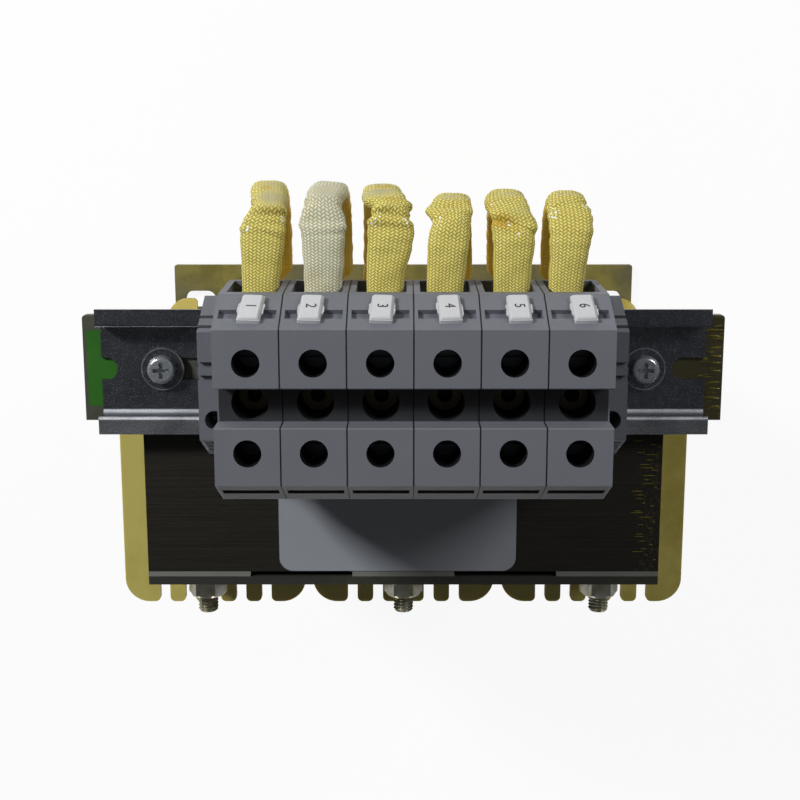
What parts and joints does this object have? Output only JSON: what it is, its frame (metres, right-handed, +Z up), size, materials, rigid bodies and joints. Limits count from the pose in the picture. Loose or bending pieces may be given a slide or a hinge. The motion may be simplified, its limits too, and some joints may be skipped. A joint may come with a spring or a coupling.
{
  "type": "motor reactor",
  "caption": "Three-phase motor reactor: laminated core on slotted foot angles, wound coils, and a rail of screw terminals on top fed by looped sleeved leads.",
  "frame": {"origin": "on the floor, midway between the four foot slots", "axes": "+X along the core, +Y across the stack towards the side where the leads loop out, +Z up"},
  "size_m": [0.18, 0.1427, 0.2095],
  "materials": {
    "laminations": "varnished electrical steel sheets",
    "angle_steel": "galvanised steel stained by varnish",
    "bar_steel": "plain steel under varnish",
    "pressboard": "varnished insulating board",
    "bolt_steel": "zinc-plated steel",
    "rail_steel": "bright zinc-plated steel sheet",
    "screw_steel": "bright zinc-plated steel",
    "terminal_grey": "moulded grey polyamide",
    "bobbin_plastic": "natural moulded plastic under varnish",
    "winding": "enamelled copper under varnish",
    "sleeve_fibreglass": "braided fibreglass sleeve, varnished yellow",
    "copper": "tinned copper flat wire",
    "brass": "plated brass",
    "clamp_steel": "zinc-plated steel",
    "tag_white": "white moulded plastic"
  },
  "bodies": {
    "root": {"core_e_stack": "laminations", "core_i_yoke": "laminations", "rail_bracket": "angle_steel", "foot_angle_front": "angle_steel", "foot_angle_rear": "angle_steel", "clamp_bar": "bar_steel", "core_bolts": "bolt_steel", "core_nuts": "bolt_steel", "core_washers": "bolt_steel", "spring_washers": "bolt_steel", "din_rail": "rail_steel", "rail_screws": "screw_steel", "rail_washers": "screw_steel", "end_stop_left": "terminal_grey", "end_stop_right": "terminal_grey", "end_stop_screws": "clamp_steel", "wire_clamps": "clamp_steel", "clamp_screws": "clamp_steel", "wire_ends": "copper", "gap_pad_1": "pressboard", "packing_strip_1": "pressboard", "bobbin_1": "bobbin_plastic", "winding_1": "winding", "gap_pad_2": "pressboard", "packing_strip_2": "pressboard", "bobbin_2": "bobbin_plastic", "winding_2": "winding", "gap_pad_3": "pressboard", "packing_strip_3": "pressboard", "bobbin_3": "bobbin_plastic", "winding_3": "winding", "terminal_body_1": "terminal_grey", "current_bar_1": "brass", "marker_tag_1": "tag_white", "lead_sleeve_1": "sleeve_fibreglass", "terminal_body_2": "terminal_grey", "current_bar_2": "brass", "marker_tag_2": "tag_white", "lead_sleeve_2": "sleeve_fibreglass", "terminal_body_3": "terminal_grey", "current_bar_3": "brass", "marker_tag_3": "tag_white", "lead_sleeve_3": "sleeve_fibreglass", "terminal_body_4": "terminal_grey", "current_bar_4": "brass", "marker_tag_4": "tag_white", "lead_sleeve_4": "sleeve_fibreglass", "terminal_body_5": "terminal_grey", "current_bar_5": "brass", "marker_tag_5": "tag_white", "lead_sleeve_5": "sleeve_fibreglass", "terminal_body_6": "terminal_grey", "current_bar_6": "brass", "marker_tag_6": "tag_white", "lead_sleeve_6": "sleeve_fibreglass"}
  },
  "joints": []
}
